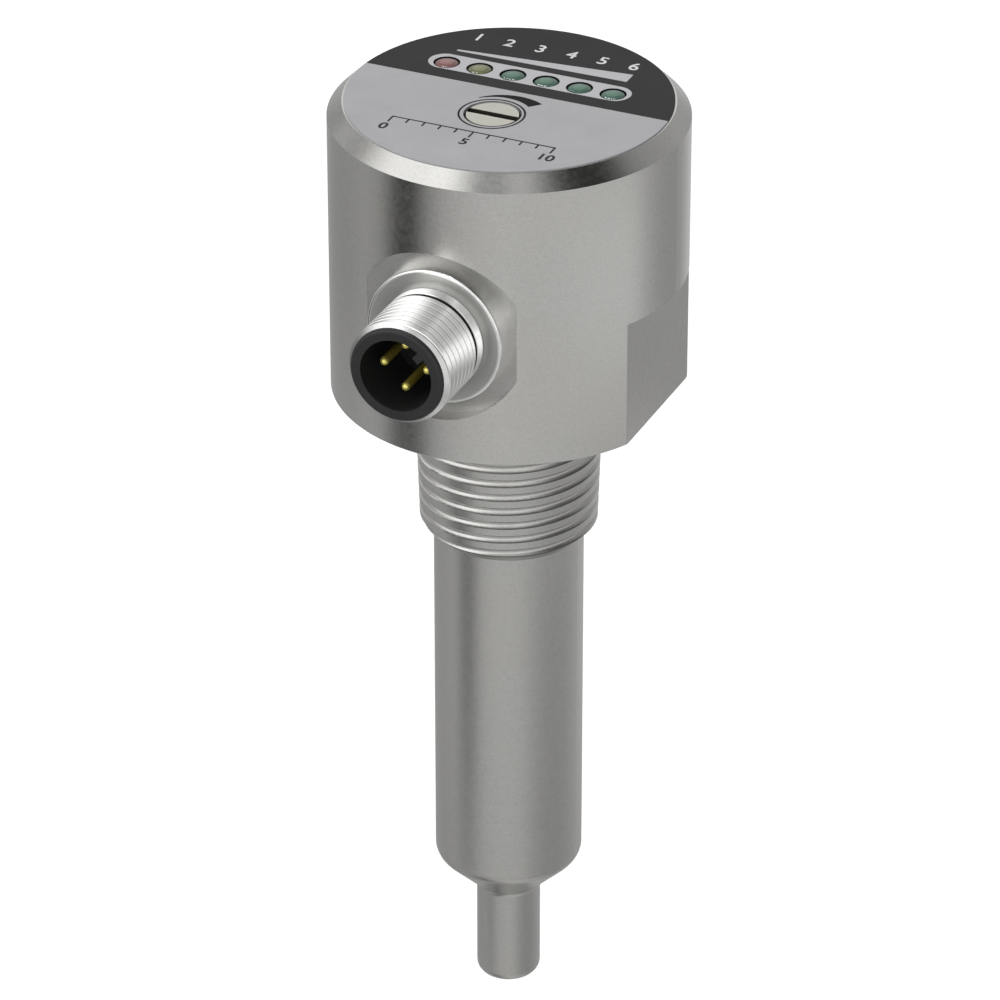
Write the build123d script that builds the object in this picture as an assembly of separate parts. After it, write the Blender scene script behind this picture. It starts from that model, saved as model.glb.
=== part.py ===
from build123d import *
import math
import os

# Thermal flow sensor for liquids in pipes.
# Millimetres. +Z runs up the probe axis; the origin is the centre of the
# housing's flat underside, which faces the pipe fitting. The round plug
# connector points along -Y and the two spanner flats face +X and -X.

# ---------------------------------------------------------------- housing
HOUSING_R = 20.0            # turned housing, dia 40
HOUSING_TOP = 34.80         # metal rim under the label
TOP_CHAMFER = 1.65          # 45 degree chamfer round the top
EDGE_BREAK = 0.15
CAVITY_R = 16.2
FLOOR_T = 4.0
COVER_SEAT_R = 17.4
COVER_SEAT_Z = 31.8
FLAT_HALF = 18.0            # across flats 36
FLAT_HEIGHT = 15.0

# ---------------------------------------------------------------- connector
CON_Z = 15.0                # height of the connector axis
POCKET_R = 10.0             # circular spot face
POCKET_Y = 17.9             # depth plane of the spot face
FLANGE_R = 8.0
FLANGE_FRONT = 20.0
FLANGE_EDGE = 0.24          # rounding of the flange's front edge
COLLAR_R = 5.92
COLLAR_END = 21.4
RELIEF_R = 5.25
RELIEF_END = 21.95
M12_R = 5.95
M12_PITCH = 1.0
M12_GROOVE_W = 0.22
M12_GROOVE_D = 0.26
M12_PHASE = 21.62           # groove centre at the +X side
NOSE_START = 28.72
SHELL_END = 29.2
NOSE_R = 5.5
SHELL_BORE_R = 4.7
STUB_R = 5.2
STUB_BACK = 10.9
INSERT_FRONT = 29.7
INSERT_LIP_R = 5.5
SOCKET_R = 4.2
SOCKET_FLOOR = 21.0
INSERT_BACK = 12.0
KEY_W = 0.9
KEY_R = 3.22
PIN_R = 0.5
PIN_CIRCLE_R = 2.55
PIN_TIP = 27.5
PIN_BACK = 9.5
SOLDER_CUP_R = 0.75

# ---------------------------------------------------------------- process end
NECK_R = 9.0
NECK_Z = -2.1
CREST_R4 = 10.536           # crest radius 4 mm below the sealing face
TAPER = 1.0 / 32.0          # 1:16 on the diameter
THREAD_PITCH = 1.814        # 14 threads per inch
THREAD_END_Z = -17.0
THREAD_LINE_Z = -7.353      # groove centre at azimuth 0
GROOVE_W = 1.0
GROOVE_D = 0.45
TUBE_R = 8.55
TUBE_CORNER_Z = -61.95
TUBE_FILLET = 1.83
TIP_R = 3.72
TIP_END_Z = -79.33
TIP_FILLET = 1.3
NECK_FILLET = 0.8
TUBE_BORE_R = 7.3
TIP_BORE_R = 2.9
SPIGOT_TOP = 4.6

# ---------------------------------------------------------------- top panel
LABEL_R = 18.15
LABEL_TOP = 34.95
LED_Y = 5.43
LED_XS = (-10.0, -6.0, -2.0, 2.0, 6.0, 10.0)
LED_HOLE_R = 1.5
LED_R = 1.44
LED_TOP = 35.12             # top of the low lens dome
LED_DOME = 0.48
BOARD_TOP = 29.45
BOARD_T = 1.6
ADJ_Y = -4.47
ADJ_HOLE_R = 3.05
ADJ_R = 2.9
ADJ_TOP = 34.9
SLOT_W = 1.0
SLOT_D = 1.1


def crest_r(z):
    return CREST_R4 + TAPER * (z + 4.0)


def rev_z(pts):
    """Ring or solid of revolution about Z from (r, z) points."""
    return revolve(Plane.XZ * make_face(Polyline(*pts, close=True)), axis=Axis.Z)


def rev_y(pts):
    """Solid of revolution about the connector axis from (r, s) points,
    where s is measured outwards along -Y."""
    face = make_face(Polyline(*[(r, -s) for r, s in pts], close=True))
    return Pos(0, 0, CON_Z) * revolve(face, axis=Axis.Y)


def cyl_z(r, z0, z1, x=0.0, y=0.0):
    return Pos(x, y, z0) * Cylinder(
        r, z1 - z0, align=(Align.CENTER, Align.CENTER, Align.MIN)
    )


def cyl_y(r, s0, s1, x=0.0, z=0.0):
    """Cylinder along the connector axis from s0 to s1 (outwards along -Y)."""
    return Pos(x, -(s0 + s1) / 2.0, CON_Z + z) * Rot(90, 0, 0) * Cylinder(r, abs(s1 - s0))


def block(x0, x1, y0, y1, z0, z1):
    return Pos((x0 + x1) / 2, (y0 + y1) / 2, (z0 + z1) / 2) * Box(
        x1 - x0, y1 - y0, z1 - z0
    )


def edges_at(solid, r, z, axis=Axis.Z, tol=0.02):
    """Circular edges of radius r at height z on the main axis."""
    found = []
    for e in solid.edges().filter_by(GeomType.CIRCLE):
        c = e.arc_center
        if abs(e.radius - r) < tol and abs(c.Z - z) < tol and abs(c.X) < tol and abs(c.Y) < tol:
            found.append(e)
    return found


def arc_pts(cx, cz, r, a0, a1, n):
    return [
        (
            cx + r * math.cos(math.radians(a0 + (a1 - a0) * i / n)),
            cz + r * math.sin(math.radians(a0 + (a1 - a0) * i / n)),
        )
        for i in range(n + 1)
    ]


# ================================================================ housing
housing = rev_z(
    [
        (NECK_R, 0),
        (HOUSING_R - EDGE_BREAK, 0),
        (HOUSING_R, EDGE_BREAK),
        (HOUSING_R, HOUSING_TOP - TOP_CHAMFER),
        (HOUSING_R - TOP_CHAMFER, HOUSING_TOP),
        (COVER_SEAT_R, HOUSING_TOP),
        (COVER_SEAT_R, COVER_SEAT_Z),
        (CAVITY_R, COVER_SEAT_Z),
        (CAVITY_R, FLOOR_T),
        (NECK_R, FLOOR_T),
    ]
)
for side in (1, -1):
    x0, x1 = sorted((side * FLAT_HALF, side * (HOUSING_R + 2)))
    housing -= block(x0, x1, -12, 12, -1, FLAT_HEIGHT)
housing -= cyl_y(POCKET_R, POCKET_Y, HOUSING_R + 2)
housing -= cyl_y(7.9, 10.0, 16.2)          # inner spot face for the lock nut
housing -= cyl_y(STUB_R + 0.05, 14.0, 19.0)

# ================================================================ probe body
tl = TUBE_FILLET * math.tan(math.radians(22.5))
probe = rev_z(
    [
        (0, TIP_END_Z),
        (TIP_R, TIP_END_Z),
        (TIP_R, TUBE_CORNER_Z - (TUBE_R - TIP_R)),
        (TUBE_R, TUBE_CORNER_Z),
        (TUBE_R, THREAD_END_Z - (crest_r(THREAD_END_Z) - TUBE_R)),
        (crest_r(THREAD_END_Z), THREAD_END_Z),
        (crest_r(-3.3), -3.3),
        (crest_r(-3.3) - 1.15, NECK_Z - 0.05),
        (NECK_R, NECK_Z - 0.05),
        (NECK_R, SPIGOT_TOP),
        (TUBE_BORE_R, SPIGOT_TOP),
        (TUBE_BORE_R, TUBE_CORNER_Z + 0.6),
        (TIP_BORE_R, TUBE_CORNER_Z + 0.6 - (TUBE_BORE_R - TIP_BORE_R)),
        (TIP_BORE_R, TIP_END_Z + 1.25),
        (0, TIP_END_Z + 1.25),
    ]
)
probe = fillet(edges_at(probe, TUBE_R, TUBE_CORNER_Z), TUBE_FILLET)
probe = fillet(edges_at(probe, TIP_R, TUBE_CORNER_Z - (TUBE_R - TIP_R)), NECK_FILLET)
probe = fillet(edges_at(probe, TIP_R, TIP_END_Z), TIP_FILLET)

# tapered right-hand pipe thread: a rounded groove cut one and a half turns at a
# time. Every second stretch is 0.01 mm narrower, so neighbouring stretches
# never share a nearly equal surface where they overlap.
cone_deg = math.degrees(math.atan(TAPER))
THREAD_START = 0.4          # turn at which the lowest stretch starts
z_start = THREAD_LINE_Z + (THREAD_START - 7) * THREAD_PITCH
turns_total = 10.5 - THREAD_START
done = 0.0
stretch = 0
while done < turns_total - 1e-6:
    n = min(1.5, turns_total - done) + 0.05
    z0 = z_start + done * THREAD_PITCH
    less = 0.01 * (stretch % 2)
    w = GROOVE_W / 2 - less
    path = Helix(
        pitch=THREAD_PITCH,
        height=n * THREAD_PITCH,
        radius=crest_r(z0),
        center=(0, 0, z0),
        cone_angle=cone_deg,
    )
    with BuildSketch(Plane(origin=path @ 0, x_dir=(1, 0, 0), z_dir=(0, -1, 0))) as groove:
        with BuildLine():
            Polyline((0, -w), (0.35, -w - 0.1), (0.35, w + 0.1), (0, w))
            ThreePointArc((0, w), (-GROOVE_D + less, 0), (0, -w))
        make_face()
    cutter = sweep(groove.sketch.face(), path=path, is_frenet=True)
    probe -= Rot(0, 0, (THREAD_START + done) * 360.0) * cutter
    done += 1.5
    stretch += 1

# ================================================================ connector
shell = rev_y(
    [
        (SHELL_BORE_R, STUB_BACK),
        (STUB_R, STUB_BACK),
        (STUB_R, POCKET_Y),
        (6.2, POCKET_Y),
        (6.2, POCKET_Y + 0.6),
        (7.2, POCKET_Y + 0.6),
        (7.2, POCKET_Y),
        (FLANGE_R, POCKET_Y),
        (FLANGE_R, FLANGE_FRONT - FLANGE_EDGE),
    ]
    + [
        (FLANGE_R - FLANGE_EDGE + FLANGE_EDGE * math.cos(math.radians(a)), FLANGE_FRONT - FLANGE_EDGE + FLANGE_EDGE * math.sin(math.radians(a)))
        for a in (22.5, 45, 67.5)
    ]
    + [
        (FLANGE_R - FLANGE_EDGE, FLANGE_FRONT),
        (COLLAR_R, FLANGE_FRONT),
        (COLLAR_R, COLLAR_END - 0.1),
        (COLLAR_R - 0.1, COLLAR_END),
        (RELIEF_R, COLLAR_END),
        (RELIEF_R, RELIEF_END),
        (M12_R - 0.1, RELIEF_END),
        (M12_R, RELIEF_END + 0.1),
        (M12_R, NOSE_START),
        (NOSE_R, SHELL_END),
        (SHELL_BORE_R, SHELL_END),
    ]
)
# M12 x 1 right-hand thread on the shell
s_start = M12_PHASE + 0.08
phase = 0.08 / M12_PITCH * 360.0
m12_turns = 7.15
done = 0.0
while done < m12_turns - 1e-6:
    n = min(2.0, m12_turns - done) + 0.02
    h0 = s_start + done * M12_PITCH
    path = Helix(pitch=M12_PITCH, height=n * M12_PITCH, radius=M12_R, center=(0, 0, h0))
    t = math.tan(math.radians(20))
    w = M12_GROOVE_W / 2
    with BuildSketch(Plane(origin=path @ 0, x_dir=(1, 0, 0), z_dir=(0, -1, 0))) as vee:
        with BuildLine():
            Polyline(
                (0.25, w + 0.25 * t),
                (-M12_GROOVE_D + 0.06, 0.04),
                (-M12_GROOVE_D + 0.06, -0.04),
                (0.25, -w - 0.25 * t),
                close=True,
            )
        make_face()
    cutter = sweep(vee.sketch.face(), path=path, is_frenet=True)
    # local +Z becomes -Y and local +X stays +X; then the start angle about -Y
    cutter = Pos(0, 0, CON_Z) * Rot(90, 0, 0) * Rot(0, 0, phase) * cutter
    shell -= cutter
    done += 2.0

insert_pts = [
    (0, INSERT_BACK),
    (SHELL_BORE_R, INSERT_BACK),
    (SHELL_BORE_R, SHELL_END),
    (INSERT_LIP_R, SHELL_END),
] + arc_pts(INSERT_LIP_R - 0.42, INSERT_FRONT - 0.42, 0.42, 0, 90, 6) + [
    (SOCKET_R, INSERT_FRONT),
    (SOCKET_R, SOCKET_FLOOR),
    (0, SOCKET_FLOOR),
]
insert = rev_y(insert_pts)
key = Pos((KEY_R + SOCKET_R + 0.3) / 2, 0, 0) * Box(SOCKET_R + 0.3 - KEY_R, KEY_W, INSERT_FRONT - SOCKET_FLOOR)
key = Pos(0, -(SOCKET_FLOOR + INSERT_FRONT) / 2, CON_Z) * Rot(90, 0, 0) * Rot(0, 0, 45) * key
insert += key

pin_list = []
for i in range(4):
    a = math.radians(90 * i)
    px, pz = PIN_CIRCLE_R * math.cos(a), PIN_CIRCLE_R * math.sin(a)
    pts = [(0, PIN_BACK), (SOLDER_CUP_R, PIN_BACK), (SOLDER_CUP_R, INSERT_BACK), (PIN_R, INSERT_BACK)]
    pts += [
        (PIN_R * math.cos(math.radians(b)), PIN_TIP - PIN_R + PIN_R * math.sin(math.radians(b)))
        for b in (0, 15, 30, 45, 60, 75)
    ] + [(0, PIN_TIP)]
    face = make_face(Polyline(*[(r, -s) for r, s in pts], close=True))
    pin = Pos(px, 0, CON_Z + pz) * revolve(face, axis=Axis.Y)
    pin_list.append(pin)
    insert -= cyl_y(PIN_R, INSERT_BACK - 0.5, SOCKET_FLOOR + 0.5, px, pz)

connector_seal = rev_y([(6.3, POCKET_Y), (7.1, POCKET_Y), (7.1, POCKET_Y + 0.58), (6.3, POCKET_Y + 0.58)])
nut_face = RegularPolygon(13.0 / 2, 6, major_radius=False)
connector_nut = Pos(0, -16.2, CON_Z) * Rot(-90, 0, 0) * (
    extrude(nut_face, 3.0) - Pos(0, 0, 1.5) * Cylinder(STUB_R + 0.02, 4.0)
)

# ================================================================ top panel
cover = rev_z(
    [
        (0, COVER_SEAT_Z),
        (COVER_SEAT_R - 0.03, COVER_SEAT_Z),
        (COVER_SEAT_R - 0.03, 32.7),
        (16.5, 32.7),
        (16.5, 33.8),
        (COVER_SEAT_R - 0.03, 33.8),
        (COVER_SEAT_R - 0.03, HOUSING_TOP),
        (0, HOUSING_TOP),
    ]
)
cover_seal = rev_z([(16.5, 32.72), (COVER_SEAT_R - 0.01, 32.72), (COVER_SEAT_R - 0.01, 33.78), (16.5, 33.78)])
for x in LED_XS:
    cover -= cyl_z(LED_HOLE_R + 0.05, COVER_SEAT_Z - 1, HOUSING_TOP + 1, x, LED_Y)
cover -= cyl_z(ADJ_HOLE_R, 32.5, HOUSING_TOP + 1, 0, ADJ_Y)
cover -= cyl_z(1.55, COVER_SEAT_Z - 1, 33, 0, ADJ_Y)
SCREW_XY = ((-11.5, -6.0), (11.5, -6.0))
for x, y in SCREW_XY:
    cover += cyl_z(2.4, BOARD_TOP, COVER_SEAT_Z + 0.2, x, y)
    cover -= cyl_z(0.85, BOARD_TOP - 1, 32.6, x, y)

label = cyl_z(LABEL_R, HOUSING_TOP, LABEL_TOP)
for x in LED_XS:
    label -= cyl_z(LED_HOLE_R, HOUSING_TOP - 1, LABEL_TOP + 1, x, LED_Y)
label -= cyl_z(ADJ_HOLE_R, HOUSING_TOP - 1, LABEL_TOP + 1, 0, ADJ_Y)

def led(x):
    pts = [
        (0, BOARD_TOP),
        (1.85, BOARD_TOP),
        (1.85, BOARD_TOP + 1.0),
        (LED_R, BOARD_TOP + 1.0),
        (LED_R, LED_TOP - LED_DOME),
    ]
    pts += [
        (LED_R * math.cos(math.radians(a)), LED_TOP - LED_DOME + LED_DOME * math.sin(math.radians(a)))
        for a in (10, 20, 30, 40, 50, 60, 70, 80)
    ]
    pts += [(0, LED_TOP)]
    return Pos(x, LED_Y, 0) * rev_z(pts)

leds = [led(x) for x in LED_XS]
led_leads = []
for x in LED_XS:
    for dx in (-1.27, 1.27):
        led_leads.append(block(x + dx - 0.25, x + dx + 0.25, LED_Y - 0.25, LED_Y + 0.25, BOARD_TOP - BOARD_T - 0.9, BOARD_TOP))

adjuster = (
    cyl_z(ADJ_R, 32.6, ADJ_TOP, 0, ADJ_Y)
    + cyl_z(1.5, 31.0, 32.7, 0, ADJ_Y)
    + cyl_z(1.2, 30.1, 31.1, 0, ADJ_Y)
)
adjuster -= block(-4, 4, ADJ_Y - SLOT_W / 2, ADJ_Y + SLOT_W / 2, ADJ_TOP - SLOT_D, ADJ_TOP + 1)
adjuster -= Pos(0, ADJ_Y, 0) * rev_z([(2.45, 32.95), (4.0, 32.95), (4.0, 33.55), (2.45, 33.55)])
adjuster_seal = Pos(0, ADJ_Y, 0) * rev_z([(2.45, 32.97), (3.0, 32.97), (3.0, 33.53), (2.45, 33.53)])
trimmer_rotor = cyl_z(1.9, 29.95, 30.95, 0, ADJ_Y) - cyl_z(1.2, 30.1, 32, 0, ADJ_Y)
trimmer_body = block(-3.4, 3.4, ADJ_Y - 3.4, ADJ_Y + 3.4, BOARD_TOP, 31.2) - cyl_z(2.0, 29.85, 32, 0, ADJ_Y)

# ================================================================ electronics
display_board = cyl_z(15.5, BOARD_TOP - BOARD_T, BOARD_TOP)
for lead in led_leads:
    display_board -= lead
for x, y in SCREW_XY:
    display_board -= cyl_z(1.1, BOARD_TOP - BOARD_T - 1, BOARD_TOP + 1, x, y)
board_screws = []
for x, y in SCREW_XY:
    board_screws.append(cyl_z(0.85, BOARD_TOP - BOARD_T - 0.05, 31.9, x, y) + cyl_z(1.9, BOARD_TOP - BOARD_T - 1.3, BOARD_TOP - BOARD_T, x, y))

MB_Y0, MB_Y1 = -1.6, 0.0
main_board = block(-12.0, 12.0, MB_Y0, MB_Y1, 5.6, 25.0)
board_header = block(-5.1, 5.1, MB_Y1, MB_Y1 + 2.5, 21.0, BOARD_TOP - BOARD_T)
header_pins = []
for i in range(4):
    x = -3.81 + 2.54 * i
    board_header -= block(x - 0.32, x + 0.32, MB_Y1 + 0.93, MB_Y1 + 1.57, 20.0, BOARD_TOP)
    header_pins.append(block(x - 0.32, x + 0.32, MB_Y1 + 0.93, MB_Y1 + 1.57, 20.2, BOARD_TOP + 1.0))
    display_board -= block(x - 0.32, x + 0.32, MB_Y1 + 0.93, MB_Y1 + 1.57, 20.0, BOARD_TOP + 2)
controller = block(-3.6, 3.6, MB_Y1, MB_Y1 + 1.1, 10.0, 17.2)
power_parts = [
    Pos(-8.5, MB_Y1 + 2.0, 9.5) * Rot(90, 0, 0) * Cylinder(2.6, 4.0),
    Pos(8.2, MB_Y1 + 1.25, 9.0) * Box(4.6, 2.5, 4.6),
    Pos(8.0, MB_Y1 + 0.7, 18.0) * Box(5.0, 1.4, 3.6),
    Pos(-8.3, MB_Y1 + 0.8, 17.5) * Box(3.2, 1.6, 6.0),
]
hookup_wires = []
for i in range(4):
    a = math.radians(90 * i)
    hookup_wires.append(
        cyl_y(0.45, -MB_Y0, PIN_BACK, PIN_CIRCLE_R * math.cos(a), PIN_CIRCLE_R * math.sin(a))
    )

# ================================================================ sensing parts
holder = rev_z(
    [
        (2.4, -66.0 + 4.4),
        (2.9, -66.0 + 4.4),
        (TUBE_BORE_R - 0.05, TUBE_CORNER_Z + 0.8 + 0.6),
        (TUBE_BORE_R - 0.05, 3.4),
        (2.4, 3.4),
    ]
)
LEAD_Y = -0.8
heater = block(-1.85, -0.55, -1.45, -0.15, -77.4, -71.5)
heated_sensor = block(0.55, 1.85, -1.45, -0.15, -77.4, -74.5)
reference_sensor = block(-0.6, 0.6, -1.1, -0.5, -65.4, -62.9)
lead_tops = {-1.5: -71.5, -0.9: -71.5, -0.3: -62.9, 0.3: -62.9, 0.9: -74.5, 1.5: -74.5}
sensor_leads = [cyl_z(0.2, z, 5.6, x, LEAD_Y) for x, z in lead_tops.items()]
filler = cyl_z(TIP_BORE_R, TIP_END_Z + 1.25, -66.9)
for s in (heater, heated_sensor, *sensor_leads):
    filler -= s

# ================================================================ output
NODES = {
    "housing": [housing],
    "probe_body": [probe],
    "connector_shell": [shell],
    "connector_insert": [insert],
    "contact_pins": pin_list,
    "connector_seal": [connector_seal],
    "connector_nut": [connector_nut],
    "front_cover": [cover],
    "cover_seal": [cover_seal],
    "front_label": [label],
    "led_red": [leds[0]],
    "led_yellow": [leds[1]],
    "led_green": leds[2:],
    "led_leads": led_leads,
    "adjuster_screw": [adjuster],
    "adjuster_seal": [adjuster_seal],
    "trimmer_rotor": [trimmer_rotor],
    "trimmer_body": [trimmer_body],
    "display_board": [display_board],
    "board_screws": board_screws,
    "main_board": [main_board],
    "board_header": [board_header],
    "header_pins": header_pins,
    "controller_chip": [controller],
    "power_parts": power_parts,
    "hookup_wires": hookup_wires,
    "sensor_holder": [holder],
    "heater_element": [heater],
    "heated_sensor": [heated_sensor],
    "reference_sensor": [reference_sensor],
    "thermal_filler": [filler],
    "sensor_leads": sensor_leads,
}

os.makedirs("parts", exist_ok=True)
for name, items in NODES.items():
    solids = []
    for item in items:
        solids.extend(item.solids())
    shape = solids[0] if len(solids) == 1 else Compound(children=solids)
    export_step(shape, os.path.join("parts", name + ".step"))
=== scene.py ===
import math

import bpy
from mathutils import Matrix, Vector


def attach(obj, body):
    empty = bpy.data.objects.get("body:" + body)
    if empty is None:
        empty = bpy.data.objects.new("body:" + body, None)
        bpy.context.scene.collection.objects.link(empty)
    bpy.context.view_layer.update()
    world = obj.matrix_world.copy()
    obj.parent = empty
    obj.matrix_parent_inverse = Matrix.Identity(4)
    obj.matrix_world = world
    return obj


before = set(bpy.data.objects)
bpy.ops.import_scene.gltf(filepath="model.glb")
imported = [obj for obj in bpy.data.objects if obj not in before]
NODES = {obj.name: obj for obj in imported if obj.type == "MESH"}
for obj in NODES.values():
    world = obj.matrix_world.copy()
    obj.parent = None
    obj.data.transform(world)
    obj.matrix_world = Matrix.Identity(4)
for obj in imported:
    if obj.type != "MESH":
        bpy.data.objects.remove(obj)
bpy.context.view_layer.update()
MM = 0.001

# ------------------------------------------------------------------ sizes, mm
LABEL_TOP = 34.95
LABEL_R = 18.15
LED_Y = 5.43
LED_XS = (-10.0, -6.0, -2.0, 2.0, 6.0, 10.0)
LED_HOLE_R = 1.5
ADJ = (0.0, -4.47)
VIEW_AZ = 24.203


# ------------------------------------------------------------------ node helpers
class Net:
    """A short way to write shader nodes."""

    def __init__(self, tree):
        self.t = tree
        self.t.nodes.clear()

    def n(self, kind, **props):
        node = self.t.nodes.new(kind)
        ins = props.pop("ins", {})
        for k, v in props.items():
            setattr(node, k, v)
        for k, v in ins.items():
            self.put(node.inputs[k], v)
        return node

    def put(self, socket, v):
        if isinstance(v, bpy.types.NodeSocket):
            self.t.links.new(v, socket)
        else:
            socket.default_value = v

    def math(self, op, a, b=0.0, c=0.0, clamp=False):
        m = self.n("ShaderNodeMath", operation=op, use_clamp=clamp)
        self.put(m.inputs[0], a)
        self.put(m.inputs[1], b)
        if len(m.inputs) > 2:
            self.put(m.inputs[2], c)
        return m.outputs[0]

    def rng(self, v, a, b, c=0.0, d=1.0, smooth=False):
        m = self.n("ShaderNodeMapRange", interpolation_type="SMOOTHSTEP" if smooth else "LINEAR")
        self.put(m.inputs["Value"], v)
        for k, x in (("From Min", a), ("From Max", b), ("To Min", c), ("To Max", d)):
            self.put(m.inputs[k], x)
        return m.outputs[0]

    def ramp(self, v, stops, interp="LINEAR"):
        r = self.n("ShaderNodeValToRGB")
        r.color_ramp.interpolation = interp
        els = r.color_ramp.elements
        while len(els) < len(stops):
            els.new(0.5)
        for e, (p, c) in zip(els, stops):
            e.position = p
            e.color = (c, c, c, 1) if isinstance(c, (int, float)) else (*c, 1)
        self.put(r.inputs[0], v)
        return r.outputs[0]

    def mix(self, f, a, b):
        m = self.n("ShaderNodeMix", data_type="RGBA")
        self.put(m.inputs[0], f)
        self.put(m.inputs[6], a if isinstance(a, bpy.types.NodeSocket) else (*a, 1))
        self.put(m.inputs[7], b if isinstance(b, bpy.types.NodeSocket) else (*b, 1))
        return m.outputs[2]

    def noise(self, vec, scale, detail=2.0, rough=0.5):
        m = self.n("ShaderNodeTexNoise", ins={"Scale": scale, "Detail": detail, "Roughness": rough})
        self.put(m.inputs["Vector"], vec)
        return m.outputs["Fac"]

    def scaled(self, vec, s):
        m = self.n("ShaderNodeMapping")
        m.inputs["Scale"].default_value = s
        self.put(m.inputs["Vector"], vec)
        return m.outputs[0]

    def bump(self, height, dist, strength=1.0, normal=None):
        b = self.n("ShaderNodeBump", ins={"Strength": strength, "Distance": dist})
        self.put(b.inputs["Height"], height)
        if normal is not None:
            self.put(b.inputs["Normal"], normal)
        return b.outputs[0]


def new_mat(name):
    m = bpy.data.materials.new(name)
    m.use_nodes = True
    return m, Net(m.node_tree)


def close(net, **ins):
    p = net.n("ShaderNodeBsdfPrincipled")
    for k, v in ins.items():
        net.put(p.inputs[k.replace("_", " ")], v)
    o = net.n("ShaderNodeOutputMaterial")
    net.t.links.new(p.outputs[0], o.inputs[0])
    return p


def mul(c, k):
    return tuple(min(1.0, x * k) for x in c)


# ------------------------------------------------------------------ metals
def blasted_steel(name, base, rough, grain=0.00013, depth=0.0000020, axis=2, ring=0.06, pocket=False, flanks=False):
    """Fine-blasted stainless steel: an even grain, faint lathe rings under it, slow changes of sheen. With pocket, the
    housing's milled pocket round the connector gets painted shade in bands by angle round the connector, strongest
    next to its flange, and is a little rougher; with flanks, the downward-facing groove flanks of the pipe thread get
    painted shade."""
    m, n = new_mat(name)
    co = n.n("ShaderNodeTexCoord").outputs["Object"]
    fine = n.noise(co, 1.0 / grain, 2.0, 0.55)
    mid = n.noise(co, 1.0 / (grain * 4.5), 2.0, 0.5)
    slow = n.noise(co, 70.0, 3.0, 0.5)
    s = [60.0, 60.0, 60.0]
    s[axis] = 3800.0
    rings = n.noise(n.scaled(co, tuple(s)), 1.0, 2.0, 0.6)
    tone = n.math("ADD", n.math("MULTIPLY", fine, 0.72), n.math("ADD", n.math("MULTIPLY", mid, 0.20), n.math("MULTIPLY", rings, 0.08)))
    col = n.mix(n.rng(tone, 0.36, 0.64), mul(base, 0.905), mul(base, 1.095))
    col = n.mix(n.rng(slow, 0.3, 0.7, 0.0, 0.35), col, tuple(x * y for x, y in zip(base, (1.03, 1.0, 0.96))))
    r = n.math("ADD", n.rng(mid, 0.3, 0.7, rough - 0.02, rough + 0.02), n.rng(slow, 0.3, 0.7, -0.01, 0.012))
    h = n.math("ADD", fine, n.math("MULTIPLY", rings, ring))
    if pocket:
        at = n.n("ShaderNodeSeparateXYZ", ins={"Vector": co})
        up = n.math("SUBTRACT", at.outputs[2], 0.015)
        rr = n.math("SQRT", n.math("ADD", n.math("MULTIPLY", at.outputs[0], at.outputs[0]), n.math("MULTIPLY", up, up)))
        out_r = n.math("SQRT", n.math("ADD", n.math("MULTIPLY", at.outputs[0], at.outputs[0]), n.math("MULTIPLY", at.outputs[1], at.outputs[1])))
        inside = n.math("MULTIPLY", n.rng(rr, 0.01000, 0.01004, 1, 0), n.rng(at.outputs[1], -0.0140, -0.0150, 0, 1))
        inside = n.math("MULTIPLY", inside, n.rng(out_r, 0.01993, 0.01998, 1, 0))
        # painted shade: the pocket is darkened in bands by angle round the connector's axis, more strongly towards the
        # flange
        turn_at = n.rng(n.math("ARCTAN2", up, at.outputs[0]), -math.pi, math.pi)
        dull_tone_and_painted_shade = n.ramp(turn_at, [((q + 180) / 360, v) for q, v in (
            (-180, 0.22), (-105, 0.30), (-80, 0.40), (-62, 0.16), (-30, 0.05), (0, 0.08), (25, 0.12), (42, 0.42),
            (62, 0.48), (85, 0.44), (102, 0.34), (120, 0.12), (160, 0.08), (180, 0.22))])
        col = n.mix(n.math("MULTIPLY", inside, n.math("MULTIPLY", dull_tone_and_painted_shade, n.rng(rr, 0.0086, 0.0099, 1.25, 0.75))), col, (0.02, 0.019, 0.017))
        r = n.math("ADD", r, n.math("MULTIPLY", inside, 0.07))
    if flanks:
        # painted shade: the groove flanks of the pipe thread that face down are darkened
        face = n.n("ShaderNodeSeparateXYZ", ins={"Vector": n.n("ShaderNodeNewGeometry").outputs["Normal"]})
        hgt = n.n("ShaderNodeSeparateXYZ", ins={"Vector": co}).outputs[2]
        zone = n.math("MULTIPLY", n.rng(hgt, -0.0178, -0.0174, 0, 1), n.rng(hgt, -0.0016, -0.0012, 1, 0))
        col = n.mix(n.math("MULTIPLY", zone, n.rng(face.outputs[2], -0.20, -0.62, 0, 0.72, True)), col, (0.03, 0.029, 0.027))
    close(n, Base_Color=col, Metallic=1.0, Roughness=r, Normal=n.bump(h, depth))
    return m


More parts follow.
